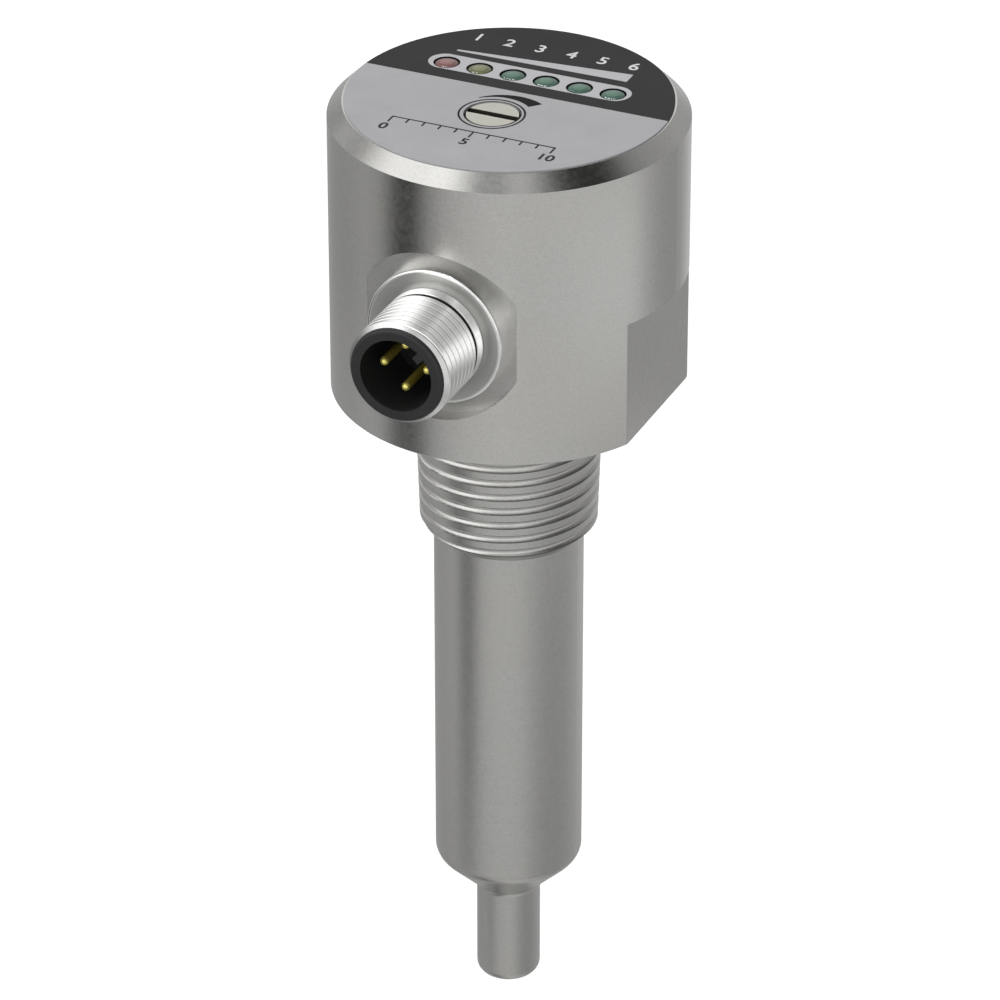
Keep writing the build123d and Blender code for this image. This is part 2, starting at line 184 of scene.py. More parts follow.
def turned_steel(name, base, rough, dull_tone_and_painted_shade, dull_rough, edge, depth=0.0000016):
    """Satin turned steel about the connector's axis: streaks round the part and painted lengthways sheen bands, painted
    shade in the thread roots and the undercut, on the flange face round the collar's foot and on one side of the nose,
    and a duller flange face behind y = -edge."""
    m, n = new_mat(name)
    co = n.n("ShaderNodeTexCoord").outputs["Object"]
    pos = n.n("ShaderNodeSeparateXYZ", ins={"Vector": co})
    y = pos.outputs[1]
    up = n.math("SUBTRACT", pos.outputs[2], 0.015)
    rr = n.math("SQRT", n.math("ADD", n.math("MULTIPLY", pos.outputs[0], pos.outputs[0]), n.math("MULTIPLY", up, up)))
    back = n.math("MULTIPLY", n.rng(y, -edge - 0.00004, -edge, 0, 1), n.rng(rr, 0.00755, 0.00765, 1, 0))
    root = n.math("MULTIPLY", n.rng(rr, 0.00578, 0.00588, 1, 0), n.rng(y, -0.02885, -0.02865, 0, 1))
    root = n.math("MULTIPLY", root, n.rng(y, -edge - 0.00002, -edge + 0.00002, 1, 0))
    streak = n.noise(n.scaled(co, (90.0, 5200.0, 90.0)), 1.0, 3.0, 0.6)
    ang = n.math("ARCTAN2", up, pos.outputs[0])
    # painted sheen: lengthways bands of darker tone by angle round the axis
    painted_sheen_at = n.n("ShaderNodeCombineXYZ")
    n.put(painted_sheen_at.inputs[0], n.math("MULTIPLY", ang, 9.0))
    n.put(painted_sheen_at.inputs[1], n.math("MULTIPLY", y, 60.0))
    painted_sheen_bands = n.noise(painted_sheen_at.outputs[0], 1.0, 3.0, 0.6)
    fine = n.noise(co, 8000.0, 2.0, 0.5)
    col = n.mix(n.rng(streak, 0.35, 0.65), mul(base, 0.93), mul(base, 1.04))
    col = n.mix(n.rng(painted_sheen_bands, 0.35, 0.65, 0.0, 0.8), col, mul(base, 0.90))
    # painted shade: the flange face darkens towards the collar's foot
    painted_collar_shade = n.rng(rr, 0.0060, 0.0074, 0.62, 1.0)
    plain = n.mix(n.rng(fine, 0.33, 0.67), mul(dull_tone_and_painted_shade, 0.93), mul(dull_tone_and_painted_shade, 1.07))
    plain = n.mix(painted_collar_shade, mul(dull_tone_and_painted_shade, 0.35), plain)
    col = n.mix(back, col, plain)
    # painted shade: thread roots are darkened strongly, the undercut next to the flange less
    col = n.mix(n.math("MULTIPLY", root, n.rng(y, -0.0222, -0.0220, 0.93, 0.66)), col, (0.040, 0.037, 0.032))
    # painted shade: the turned-down nose is darkened on the side away from the light
    side = n.math("ADD", n.math("MULTIPLY", pos.outputs[0], 0.8), n.math("MULTIPLY", up, 0.6))
    nose = n.math("MULTIPLY", n.rng(y, -0.02862, -0.02880, 0, 1), n.rng(side, 0.0012, -0.0022, 0, 0.66, True))
    col = n.mix(nose, col, (0.10, 0.10, 0.098))
    r = n.math("ADD", n.rng(streak, 0.3, 0.7, rough - 0.03, rough + 0.04), n.rng(fine, 0.3, 0.7, -0.01, 0.01))
    r = n.math("ADD", r, n.math("MULTIPLY", back, dull_rough - rough))
    r = n.math("ADD", r, n.rng(y, -0.02865, -0.02885, 0, 0.10))
    h = n.math("ADD", n.math("MULTIPLY", streak, 0.8), n.math("MULTIPLY", fine, 0.35))
    close(n, Base_Color=col, Metallic=1.0, Roughness=r, Normal=n.bump(h, depth))
    return m


def plated(name, base, rough, metal=1.0, tip=None):
    """Bright plating with fine tone; with tip, pin shafts get painted shade and front ends (y below -tip) painted
    highlights.
    """
    m, n = new_mat(name)
    co = n.n("ShaderNodeTexCoord").outputs["Object"]
    fine = n.noise(co, 5200.0, 3.0, 0.6)
    slow = n.noise(co, 900.0, 2.0, 0.5)
    col = n.mix(n.rng(fine, 0.3, 0.7), mul(base, 0.95), mul(base, 1.04))
    r = n.rng(slow, 0.3, 0.7, rough - 0.03, rough + 0.03)
    if tip is not None:
        at = n.n("ShaderNodeSeparateXYZ", ins={"Vector": co})
        # painted shade on the pin shafts, painted highlights with darker spots on their front ends
        k = n.rng(at.outputs[1], -tip + 0.00012, -tip - 0.00012, 0, 1, True)
        highlight_spots = n.n("ShaderNodeTexVoronoi", ins={"Scale": 3600.0})
        n.put(highlight_spots.inputs["Vector"], co)
        painted_tip_highlight = n.mix(n.rng(highlight_spots.outputs["Distance"], 0.15, 0.45, 0.55, 0.0), (1.0, 0.88, 0.24), (0.42, 0.33, 0.05))
        col = n.mix(k, mul(base, 0.66), painted_tip_highlight)
    close(n, Base_Color=col, Metallic=metal, Roughness=r, Normal=n.bump(fine, 0.0000008))
    return m


# ------------------------------------------------------------------ plastics
def moulded(name, base, rough, grain=0.00016, depth=0.0000035, spread=0.10, spec=0.5, coat=0.0, dark_above=None):
    """Moulded plastic: fine eroded texture, small changes of tone and sheen."""
    m, n = new_mat(name)
    co = n.n("ShaderNodeTexCoord").outputs["Object"]
    fine = n.noise(co, 1.0 / grain, 3.0, 0.6)
    slow = n.noise(co, 240.0, 3.0, 0.5)
    tone = n.math("ADD", n.math("MULTIPLY", fine, 0.6), n.math("MULTIPLY", slow, 0.4))
    col = n.mix(n.rng(tone, 0.35, 0.65), mul(base, 1 - spread), mul(base, 1 + spread))
    if dark_above is not None:
        # the black field is printed over the film's edge as well
        at = n.n("ShaderNodeSeparateXYZ", ins={"Vector": co})
        col = n.mix(n.rng(at.outputs[1], dark_above - 0.00002, dark_above, 0, 1), col, (0.014, 0.014, 0.0145))
    r = n.math("ADD", n.rng(fine, 0.3, 0.7, rough - 0.04, rough + 0.04), n.rng(slow, 0.3, 0.7, -0.03, 0.03))
    p = close(n, Base_Color=col, Roughness=r, Normal=n.bump(fine, depth))
    p.inputs["Specular IOR Level"].default_value = spec
    p.inputs["Coat Weight"].default_value = coat
    return m


def lens(name, centre, rim):
    """Tinted lamp resin with a clear skin: painted lighter in the middle where the lamp's bowl shows through, painted
    darker at the rim.
    """
    m, n = new_mat(name)
    co = n.n("ShaderNodeTexCoord").outputs["Object"]
    xyz = n.n("ShaderNodeSeparateXYZ", ins={"Vector": co})
    # distance from the nearest lamp's axis: the lamps stand 4 mm apart, the first at -10 mm
    ph = n.math("FRACT", n.math("MULTIPLY", n.math("ADD", xyz.outputs[0], 0.012), 250.0))
    dx = n.math("MULTIPLY", n.math("SUBTRACT", ph, 0.5), 0.004)
    dy = n.math("SUBTRACT", xyz.outputs[1], LED_Y * MM)
    rr = n.math("SQRT", n.math("ADD", n.math("MULTIPLY", dx, dx), n.math("MULTIPLY", dy, dy)))
    dyc = n.math("ADD", dy, 0.00030)
    rc = n.math("SQRT", n.math("ADD", n.math("MULTIPLY", dx, dx), n.math("MULTIPLY", n.math("MULTIPLY", dyc, dyc), 1.5)))
    fine = n.noise(co, 7000.0, 2.0, 0.6)
    wob = n.math("ADD", rr, n.rng(n.noise(co, 2200.0, 1.0), 0.3, 0.7, -0.00004, 0.00004))
    # painted light and shade: lighter in a middle centred a little towards the front, darker towards the rim
    body = n.mix(n.rng(rc, 0.00035, 0.00110, 0, 1, True), centre, tuple(0.62 * a + 0.38 * b for a, b in zip(centre, rim)))
    # the bowl's edge reads as a slightly darker ring under the resin
    ringed = n.math("MULTIPLY", n.rng(wob, 0.00078, 0.00090, 0, 1, True), n.rng(wob, 0.00090, 0.00104, 1, 0, True))
    body = n.mix(n.math("MULTIPLY", ringed, 0.75), body, rim)
    # painted shade: darker still at the rim
    body = n.mix(n.rng(wob, 0.00108, 0.00134, 0, 1, True), body, rim)
    body = n.mix(n.rng(fine, 0.3, 0.7, 0.0, 0.22), body, tuple(x * 0.6 for x in centre))
    # painted glints: tiny light facets of the reflector behind the resin, towards the middle
    facets = n.n("ShaderNodeTexVoronoi", ins={"Scale": 6200.0})
    n.put(facets.inputs["Vector"], co)
    glint = n.rng(facets.outputs["Distance"], 0.10, 0.40, 0.34, 0.0)
    body = n.mix(n.math("MULTIPLY", glint, n.rng(wob, 0.00095, 0.00130, 1, 0, True)), body, tuple(min(1.0, x * 1.7 + 0.05) for x in centre))
    # painted highlights: a row of tiny white sparks along the bowl's front edge
    sparks = n.n("ShaderNodeTexVoronoi", voronoi_dimensions="1D", ins={"Scale": 4600.0})
    n.put(sparks.inputs["W"], xyz.outputs[0])
    spark_highlights = n.rng(sparks.outputs["Distance"], 0.22, 0.34, 1.0, 0.0, True)
    spark_highlights = n.math("MULTIPLY", spark_highlights, n.math("MULTIPLY", n.rng(rr, 0.00104, 0.00109, 0, 1), n.rng(rr, 0.00118, 0.00123, 1, 0)))
    spark_highlights = n.math("MULTIPLY", spark_highlights, n.math("MULTIPLY", n.rng(dy, -0.00092, -0.00100, 0, 1), n.rng(n.noise(co, 1500.0, 0.0), 0.46, 0.54, 0, 1, True)))
    body = n.mix(n.math("MULTIPLY", spark_highlights, 0.9), body, (1.0, 1.0, 1.0))
    p = close(n, Base_Color=body, Roughness=0.28, Normal=n.bump(fine, 0.000002))
    p.inputs["Specular IOR Level"].default_value = 0.3
    p.inputs["Coat Weight"].default_value = 0.5
    p.inputs["Coat Roughness"].default_value = 0.04
    p.inputs["Subsurface Weight"].default_value = 0.15
    p.inputs["Subsurface Radius"].default_value = (0.0006, 0.0006, 0.0006)
    p.inputs["Subsurface Scale"].default_value = 1.0
    return m


def board_mat(name):
    m, n = new_mat(name)
    co = n.n("ShaderNodeTexCoord").outputs["Object"]
    weave = n.n("ShaderNodeTexWave", ins={"Scale": 900.0, "Distortion": 1.5, "Detail": 1.0})
    n.put(weave.inputs["Vector"], co)
    cells = n.n("ShaderNodeTexVoronoi", distance="CHEBYCHEV", ins={"Scale": 420.0})
    n.put(cells.inputs["Vector"], co)
    col = n.mix(n.rng(weave.outputs["Fac"], 0, 1), (0.010, 0.085, 0.035), (0.018, 0.13, 0.055))
    col = n.mix(n.rng(cells.outputs["Distance"], 0.05, 0.12, 0.6, 0), col, (0.03, 0.20, 0.09))
    close(n, Base_Color=col, Roughness=n.rng(weave.outputs["Fac"], 0, 1, 0.3, 0.42), Normal=n.bump(cells.outputs["Distance"], 0.00001))
    return m


STEEL = (0.605, 0.603, 0.585)
M = {
    "housing": blasted_steel("blasted_steel", STEEL, 0.225, pocket=True),
    "probe": blasted_steel("blasted_steel_probe", mul(STEEL, 0.93), 0.30, flanks=True),
    "connector": turned_steel("turned_steel", (0.93, 0.93, 0.915), 0.21, mul(STEEL, 0.84), 0.34, 0.02003),
    "plain_steel": blasted_steel("plain_steel", (0.55, 0.55, 0.54), 0.25),
    "insert": moulded("black_moulding", (0.020, 0.020, 0.021), 0.42, spread=0.18, spec=0.42),
    "cover": moulded("cover_moulding", (0.010, 0.010, 0.011), 0.5),
    "gold": plated("gold_plate", (0.95, 0.76, 0.13), 0.24, 0.60, tip=0.0270),
    "rubber": moulded("black_rubber", (0.012, 0.012, 0.012), 0.62, depth=0.000006),
    "label": moulded("label_grey", (0.458, 0.458, 0.472), 0.42, grain=0.00012, depth=0.0000020, spread=0.09, spec=0.35, dark_above=0.00170),
    "print_black": moulded("print_black", (0.014, 0.014, 0.0145), 0.40, grain=0.00014, depth=0.0000014, spread=0.25, spec=0.14),
    "print_dark": moulded("print_dark", (0.0055, 0.0055, 0.006), 0.45, grain=0.00014, depth=0.0000014, spread=0.25, spec=0.08),
    "print_light": moulded("print_light", (0.56, 0.56, 0.58), 0.42, grain=0.00014, depth=0.0000016, spread=0.045, spec=0.35),
    "print_white": moulded("print_white", (0.80, 0.80, 0.81), 0.42, grain=0.00014, depth=0.0000014, spread=0.03, spec=0.35),
    "adjuster": moulded("ivory_moulding", (0.60, 0.59, 0.52), 0.45, spread=0.05),
    "slot": moulded("slot_shade", (0.034, 0.033, 0.024), 0.6, spread=0.25, spec=0.3),
    "led_red": lens("lens_red", (0.31, 0.140, 0.130), (0.075, 0.018, 0.018)),
    "led_yellow": lens("lens_yellow", (0.235, 0.235, 0.10), (0.045, 0.045, 0.014)),
    "led_green": lens("lens_green", (0.072, 0.195, 0.132), (0.010, 0.045, 0.030)),
    "tinned": plated("tinned_wire", (0.72, 0.72, 0.72), 0.25),
    "board": board_mat("circuit_board"),
    "white": moulded("white_moulding", (0.72, 0.72, 0.70), 0.45, spread=0.04),
    "blue": moulded("blue_moulding", (0.02, 0.08, 0.30), 0.35),
    "component": moulded("component_grey", (0.05, 0.05, 0.052), 0.4),
    "wire": moulded("wire_sleeve", (0.06, 0.02, 0.015), 0.45),
    "ceramic": moulded("ceramic", (0.75, 0.74, 0.70), 0.3, spread=0.03),
    "resin": moulded("grey_resin", (0.09, 0.09, 0.092), 0.5, spread=0.2),
}
NODE_MAT = {
    "housing": "housing", "probe_body": "probe", "connector_shell": "connector",
    "connector_insert": "insert", "contact_pins": "gold", "connector_seal": "rubber",
    "connector_nut": "plain_steel", "front_cover": "cover", "cover_seal": "rubber",
    "front_label": "label", "led_red": "led_red", "led_yellow": "led_yellow",
    "led_green": "led_green", "led_leads": "tinned", "adjuster_screw": "adjuster",
    "adjuster_seal": "rubber", "trimmer_rotor": "white", "trimmer_body": "blue",
    "display_board": "board", "board_screws": "plain_steel", "main_board": "board",
    "board_header": "component", "header_pins": "gold", "controller_chip": "component",
    "power_parts": "component", "hookup_wires": "wire", "sensor_holder": "white",
    "heater_element": "ceramic", "heated_sensor": "ceramic", "reference_sensor": "ceramic",
    "thermal_filler": "resin", "sensor_leads": "tinned",
}
for node, key in NODE_MAT.items():
    o = NODES[node]
    if not o.material_slots:
        o.data.materials.append(None)
    for s in o.material_slots:
        s.material = M[key]


# ------------------------------------------------------------------ printing on the label
def circle(cx, cy, r, k=64, a0=0.0, a1=360.0):
    full = abs(a1 - a0) >= 360
    return [
        (cx + r * math.cos(math.radians(a0 + (a1 - a0) * i / (k if full else k - 1))),
         cy + r * math.sin(math.radians(a0 + (a1 - a0) * i / (k if full else k - 1))))
        for i in range(k)
    ]


def plate(name, loops, z0, z1, mat):
    """A thin plate with holes, from outlines in millimetres on the label; the first outline is the outside."""
    cu = bpy.data.curves.new(name + "_outline", "CURVE")
    cu.dimensions = "2D"
    cu.fill_mode = "BOTH"
    cu.extrude = (z1 - z0) / 2 * MM
    for pts in loops:
        sp = cu.splines.new("POLY")
        sp.points.add(len(pts) - 1)
        for p, (x, y) in zip(sp.points, pts):
            p.co = (x * MM, y * MM, 0, 1)
        sp.use_cyclic_u = True
    tmp = bpy.data.objects.new(name + "_tmp", cu)
    bpy.context.scene.collection.objects.link(tmp)
    bpy.context.view_layer.update()
    me = bpy.data.meshes.new_from_object(tmp.evaluated_get(bpy.context.evaluated_depsgraph_get()))
    bpy.data.objects.remove(tmp)
    bpy.data.curves.remove(cu)
    me.name = name
    for v in me.vertices:
        v.co.z += (z0 + z1) / 2 * MM
    me.materials.clear()
    me.materials.append(mat)
    ob = bpy.data.objects.new(name, me)
    bpy.context.scene.collection.objects.link(ob)
    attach(ob, "root")
    return ob


Z0 = LABEL_TOP - 0.01
Z1 = LABEL_TOP + 0.012
Z2 = LABEL_TOP + 0.020


def stadium(x0, x1, y0, y1, k=24):
    r = (y1 - y0) / 2
    cy = (y0 + y1) / 2
    return circle(x1 - r, cy, r, k, -90, 90) + circle(x0 + r, cy, r, k, 90, 270)


FIELD_Y = 1.70
FIELD_R = LABEL_R - 0.015
a = math.degrees(math.asin(FIELD_Y / FIELD_R))
window = stadium(-12.20, 11.98, 3.79, 7.53)
bar = [(-10.25, 8.60), (10.12, 8.90), (10.10, 10.88), (-10.25, 8.96)]
plate("print_black_field", [circle(0, 0, FIELD_R, 160, a, 180 - a), window, bar], Z0, Z1, M["print_black"])
inset = stadium(-12.20, 11.98, 3.79, 7.53)
plate("print_lamp_window", [inset] + [circle(x, LED_Y, LED_HOLE_R, 48) for x in LED_XS], Z0, Z1, M["print_light"])
plate("print_wedge_bar", [bar], Z0, Z1, M["print_light"])

wedge = []
for i in range(49):
    t = i / 48.0
    ang = 135 - (135 - 48) * t
    r = 4.41 + 1.50 * t ** 1.22
    wedge.append((ADJ[0] + r * math.cos(math.radians(ang)), ADJ[1] + r * math.sin(math.radians(ang))))
inner = circle(ADJ[0], ADJ[1], 4.27, 48, 48, 133)
plate("print_arc_wedge", [wedge + inner], Z0, Z1, M["print_dark"])
RING = (ADJ[0] - 0.07, ADJ[1] - 0.03)
plate("print_adjuster_ring", [circle(*RING, 3.73, 96), circle(*RING, 3.51, 96)], Z0, Z1, M["print_dark"])
plate("print_adjuster_inner_ring", [circle(*ADJ, 3.18, 96), circle(*ADJ, 3.05, 96)], Z0, Z1, M["print_dark"])


def digits(name, text, x, y, size, mat, z1=Z1, bold=0.0):
    cu = bpy.data.curves.new(name + "_text", "FONT")
    cu.body = text
    cu.size = size * MM
    cu.align_x = "CENTER"
    cu.align_y = "CENTER"
    cu.extrude = (z1 - Z0) / 2 * MM
    cu.offset = bold * MM
    tmp = bpy.data.objects.new(name + "_tmp", cu)
    bpy.context.scene.collection.objects.link(tmp)
    bpy.context.view_layer.update()
    me = bpy.data.meshes.new_from_object(tmp.evaluated_get(bpy.context.evaluated_depsgraph_get()))
    bpy.data.objects.remove(tmp)
    bpy.data.curves.remove(cu)
    me.name = name
    for v in me.vertices:
        v.co.x += x * MM
        v.co.y += y * MM
        v.co.z += (Z0 + z1) / 2 * MM
    me.materials.clear()
    me.materials.append(mat)
    ob = bpy.data.objects.new(name, me)
    bpy.context.scene.collection.objects.link(ob)
    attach(ob, "root")
    return ob


for i, x in enumerate(LED_XS):
    digits(f"numeral_lamp_{i + 1}", str(i + 1), x * 0.94, 12.75, 2.5, M["print_white"], z1=Z2, bold=0.035)
for i in range(11):
    x = -9.6 + 1.92 * i
    long = i % 5 == 0
    y0 = -9.75 - (1.05 if long else 0.6)
    plate(f"print_tick_{i}", [[(x - 0.11, y0), (x + 0.11, y0), (x + 0.11, -9.5), (x - 0.11, -9.5)]], Z0, Z1, M["print_black"])
plate("print_scale_line", [[(-9.71, -9.5), (9.71, -9.5), (9.71, -9.28), (-9.71, -9.28)]], Z0, Z1, M["print_black"])
for t, x in (("0", -9.6), ("5", 0.0), ("10", 9.6)):
    digits(f"numeral_scale_{t}", t, x, -12.0, 2.0, M["print_black"], bold=0.05)

# painted shade: thin dark sheets on the slot's walls and floor stand for the shade of a deep, narrow cut; they turn
# with the adjuster
def shade_sheets(name, boxes, mat):
    verts, faces = [], []
    for x0, x1, y0, y1, z0, z1 in boxes:
        b = len(verts)
        verts += [(x * MM, y * MM, z * MM) for z in (z0, z1) for x, y in ((x0, y0), (x1, y0), (x1, y1), (x0, y1))]
        faces += [tuple(b + i for i in f) for f in (
            (3, 2, 1, 0), (4, 5, 6, 7), (0, 1, 5, 4), (1, 2, 6, 5), (2, 3, 7, 6), (3, 0, 4, 7))]
    me = bpy.data.meshes.new(name)
    me.from_pydata(verts, [], faces)
    me.materials.append(mat)
    ob = bpy.data.objects.new(name, me)
    bpy.context.scene.collection.objects.link(ob)
    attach(ob, "adjuster")
    return ob


SX, SY, SB, ST = 2.86, 0.5, 33.8, 34.885
shade_sheets("adjuster_slot_painted_shade", [
    (-SX, SX, ADJ[1] + SY - 0.015, ADJ[1] + SY + 0.01, SB, ST),
    (-SX, SX, ADJ[1] - SY - 0.01, ADJ[1] - SY + 0.015, SB, ST),
    (-SX, SX, ADJ[1] - SY + 0.015, ADJ[1] + SY - 0.015, SB - 0.01, SB + 0.015),
], M["slot"])

# ------------------------------------------------------------------ floor
me = bpy.data.meshes.new("studio_floor")
FZ = -0.175
R = 6.0
me.from_pydata([(-R, -R, FZ), (R, -R, FZ), (R, R, FZ), (-R, R, FZ)], [], [(0, 1, 2, 3)])
floor = bpy.data.objects.new("studio_floor", me)
bpy.context.scene.collection.objects.link(floor)
floor.visible_glossy = False
floor.visible_diffuse = False
fm, n = new_mat("studio_floor")
back = n.n("ShaderNodeNewGeometry").outputs["Backfacing"]
dif = n.n("ShaderNodeBsdfDiffuse", ins={"Color": (0.82, 0.82, 0.82, 1)})
emi = n.n("ShaderNodeEmission", ins={"Color": (1, 1, 1, 1), "Strength": 0.42})
add = n.n("ShaderNodeAddShader")
n.t.links.new(dif.outputs[0], add.inputs[0])
n.t.links.new(emi.outputs[0], add.inputs[1])
clear = n.n("ShaderNodeBsdfTransparent")
mx = n.n("ShaderNodeMixShader")
n.t.links.new(back, mx.inputs[0])
n.t.links.new(add.outputs[0], mx.inputs[1])
n.t.links.new(clear.outputs[0], mx.inputs[2])
out = n.n("ShaderNodeOutputMaterial")
n.t.links.new(mx.outputs[0], out.inputs[0])
me.materials.append(fm)

# ------------------------------------------------------------------ soft studio light
world = bpy.data.worlds.new("soft_studio")
bpy.context.scene.world = world
world.use_nodes = True
n = Net(world.node_tree)
d = n.n("ShaderNodeTexCoord").outputs["Generated"]
turn = n.n("ShaderNodeVectorRotate", rotation_type="Z_AXIS")
n.put(turn.inputs["Vector"], d)
turn.inputs["Angle"].default_value = math.radians(90 - VIEW_AZ)
xyz = n.n("ShaderNodeSeparateXYZ", ins={"Vector": turn.outputs[0]})
# azimuth 0 is the side the main view comes from, positive towards its right
az = n.math("ARCTAN2", xyz.outputs[1], xyz.outputs[0])
u = n.rng(az, -math.pi, math.pi)
z = xyz.outputs[2]


def stops(pairs):
    return [((p + 180.0) / 360.0, c) for p, c in pairs]


low = n.ramp(u, stops([
    (-180, 0.46), (-159, 0.42), (-140, 0.37), (-105, 0.42), (-88, 0.40), (-79, 0.20), (-73, 0.03), (-61, 0.03),
    (-54, 0.22), (-47, 0.40), (-38, 0.53), (-20, 0.62), (0, 0.66), (35, 0.64), (60, 0.60), (80, 0.58),
    (96, 0.46), (125, 0.36), (141, 0.48), (160, 0.62), (180, 0.5)]))
mid = n.ramp(u, stops([
    (-180, 0.6), (-150, 0.40), (-137, 0.26), (-125, 0.45), (-105, 0.6), (-88, 0.66), (-74, 1.15), (-58, 1.6), (-36, 1.45),
    (-10, 1.05), (14, 1.2), (38, 0.82), (62, 0.40), (92, 0.38), (127, 0.40), (150, 0.44), (180, 0.6)]))
upper = n.ramp(u, stops([
    (-180, 0.95), (-150, 0.6), (-131, 0.55), (-117, 0.33), (-107, 0.8), (-98, 1.35), (-86, 1.3), (-60, 1.8), (-35, 1.45),
    (-12, 0.9), (14, 1.0), (38, 0.5), (65, 0.13), (92, 0.30), (103, 0.36), (119, 0.40), (140, 0.5), (180, 0.95)]))
high = n.ramp(u, stops([
    (-180, 0.8), (-150, 0.8), (-125, 0.7), (-105, 0.9), (-98, 1.4), (-73, 1.25), (-57, 1.6), (-44, 1.0), (-35, 0.46),
    (-29, 0.30), (-20, 0.27), (-7, 0.36), (6, 0.62), (14, 0.64), (27, 0.38), (42, 0.09), (51, 0.0), (84, 0.0), (92, 0.14),
    (104, 0.34), (130, 0.45), (180, 0.8)]))
c = n.mix(n.rng(z, -0.31, -0.09, 0, 1, True), low, mid)
c = n.mix(n.rng(z, 0.08, 0.34, 0, 1, True), c, upper)
c = n.mix(n.rng(z, 0.56, 0.77, 0, 1, True), c, high)
c = n.mix(n.rng(z, 0.90, 0.975, 0, 1, True), c, (0.55, 0.55, 0.55))
# three small lamps overhead
spots = None
for (sa, se), rad in (((-60, 84), 2.2), ((-95, 82.5), 2.0), ((40, 85.5), 2.0)):
    A, E = math.radians(sa), math.radians(se)
    dv = (math.cos(A) * math.cos(E), math.sin(A) * math.cos(E), math.sin(E))
    dot = n.n("ShaderNodeVectorMath", operation="DOT_PRODUCT")
    n.put(dot.inputs[0], turn.outputs[0])
    dot.inputs[1].default_value = dv
    k = n.rng(dot.outputs["Value"], math.cos(math.radians(rad + 0.8)), math.cos(math.radians(rad)), 0, 1, True)
    spots = k if spots is None else n.math("ADD", spots, k)
lit = n.mix(spots, c, (1.0, 1.0, 1.0))
bg_a = n.n("ShaderNodeBackground")
n.put(bg_a.inputs["Color"], lit)
n.put(bg_a.inputs["Strength"], n.rng(spots, 0, 1, 1.0, 26.0))
bg_b = n.n("ShaderNodeBackground", ins={"Color": (0.88, 0.88, 0.88, 1), "Strength": 1.0})
lp = n.n("ShaderNodeLightPath").outputs["Is Camera Ray"]
ms = n.n("ShaderNodeMixShader")
n.t.links.new(lp, ms.inputs[0])
n.t.links.new(bg_a.outputs[0], ms.inputs[1])
n.t.links.new(bg_b.outputs[0], ms.inputs[2])
wo = n.n("ShaderNodeOutputWorld")
n.t.links.new(ms.outputs[0], wo.inputs[0])

# a plain round reflector wall of the studio that only the metal sees: its tone changes round the object and with height
RW = 0.16
TOP_H, LOW_H = -0.022, -0.30
STEPS = 96
ring_v = []
for i in range(STEPS):
    t = 2 * math.pi * i / STEPS
    ring_v += [(RW * math.cos(t), RW * math.sin(t), LOW_H), (RW * math.cos(t), RW * math.sin(t), TOP_H)]
ring_f = [(2 * i, 2 * ((i + 1) % STEPS), 2 * ((i + 1) % STEPS) + 1, 2 * i + 1) for i in range(STEPS)]
me = bpy.data.meshes.new("studio_reflector")
me.from_pydata(ring_v, [], ring_f)
wall = bpy.data.objects.new("studio_reflector", me)
bpy.context.scene.collection.objects.link(wall)
wall.visible_camera = False
wall.visible_diffuse = False
wall.visible_shadow = False
wall.visible_transmission = False
wm, n = new_mat("studio_reflector")
co = n.n("ShaderNodeTexCoord").outputs["Object"]
spin = n.n("ShaderNodeVectorRotate", rotation_type="Z_AXIS")
n.put(spin.inputs["Vector"], co)
spin.inputs["Angle"].default_value = math.radians(90 - VIEW_AZ)
xyz = n.n("ShaderNodeSeparateXYZ", ins={"Vector": spin.outputs[0]})
u = n.rng(n.math("ARCTAN2", xyz.outputs[1], xyz.outputs[0]), -math.pi, math.pi)
above = n.ramp(u, stops([
    (-180, 0.60), (-166, 0.48), (-150, 0.36), (-136, 0.34), (-119, 0.34), (-97, 0.40), (-86, 0.36), (-79, 0.22), (-73, 0.05),
    (-61, 0.02), (-56, 0.14), (-50, 0.32), (-43, 0.42), (-36, 0.48), (-23, 0.59), (-5, 0.665), (13, 0.63), (31, 0.68), (50, 0.74),
    (73, 0.76), (84, 0.69), (92, 0.53), (104, 0.40), (124, 0.35), (133, 0.40), (142, 0.52), (160, 0.64), (180, 0.62)]))
below = n.ramp(u, stops([
    (-180, 0.5), (-150, 0.40), (-116, 0.42), (-93, 0.50), (-84, 0.48), (-75, 0.26), (-66, 0.19), (-57, 0.20), (-50, 0.37), (-44, 0.52),
    (-36, 0.60), (-13, 0.645), (18, 0.61), (35, 0.50), (50, 0.415), (65, 0.375), (87, 0.39), (111, 0.46), (133, 0.56), (150, 0.6), (180, 0.5)]))
deep = n.ramp(u, stops([
    (-180, 0.42), (-116, 0.38), (-90, 0.42), (-75, 0.38), (-60, 0.40), (-45, 0.47), (-25, 0.52), (0, 0.55), (20, 0.52), (40, 0.40),
    (60, 0.35), (87, 0.36), (111, 0.42), (133, 0.48), (180, 0.42)]))
tone = n.mix(n.rng(xyz.outputs[2], -0.060, -0.098), above, below)
dim = n.ramp(u, stops([(-180, 0), (112, 0), (119, 0.26), (134, 0.26), (143, 0), (180, 0)]))
dim = n.math("MULTIPLY", dim, n.math("MULTIPLY", n.rng(xyz.outputs[2], -0.064, -0.076), n.rng(xyz.outputs[2], -0.090, -0.084)))
tone = n.mix(dim, tone, (0.1, 0.1, 0.1))
tone = n.mix(n.rng(xyz.outputs[2], -0.128, -0.160), tone, deep)
glow = n.n("ShaderNodeEmission", ins={"Strength": 1.0})
n.put(glow.inputs["Color"], tone)
gone = n.n("ShaderNodeBsdfTransparent")
mx = n.n("ShaderNodeMixShader")
n.put(mx.inputs[0], n.rng(xyz.outputs[2], -0.046, -0.030, 0, 1, True))
n.t.links.new(glow.outputs[0], mx.inputs[1])
n.t.links.new(gone.outputs[0], mx.inputs[2])
out = n.n("ShaderNodeOutputMaterial")
n.t.links.new(mx.outputs[0], out.inputs[0])
wm.cycles.emission_sampling = "NONE"
me.materials.append(wm)

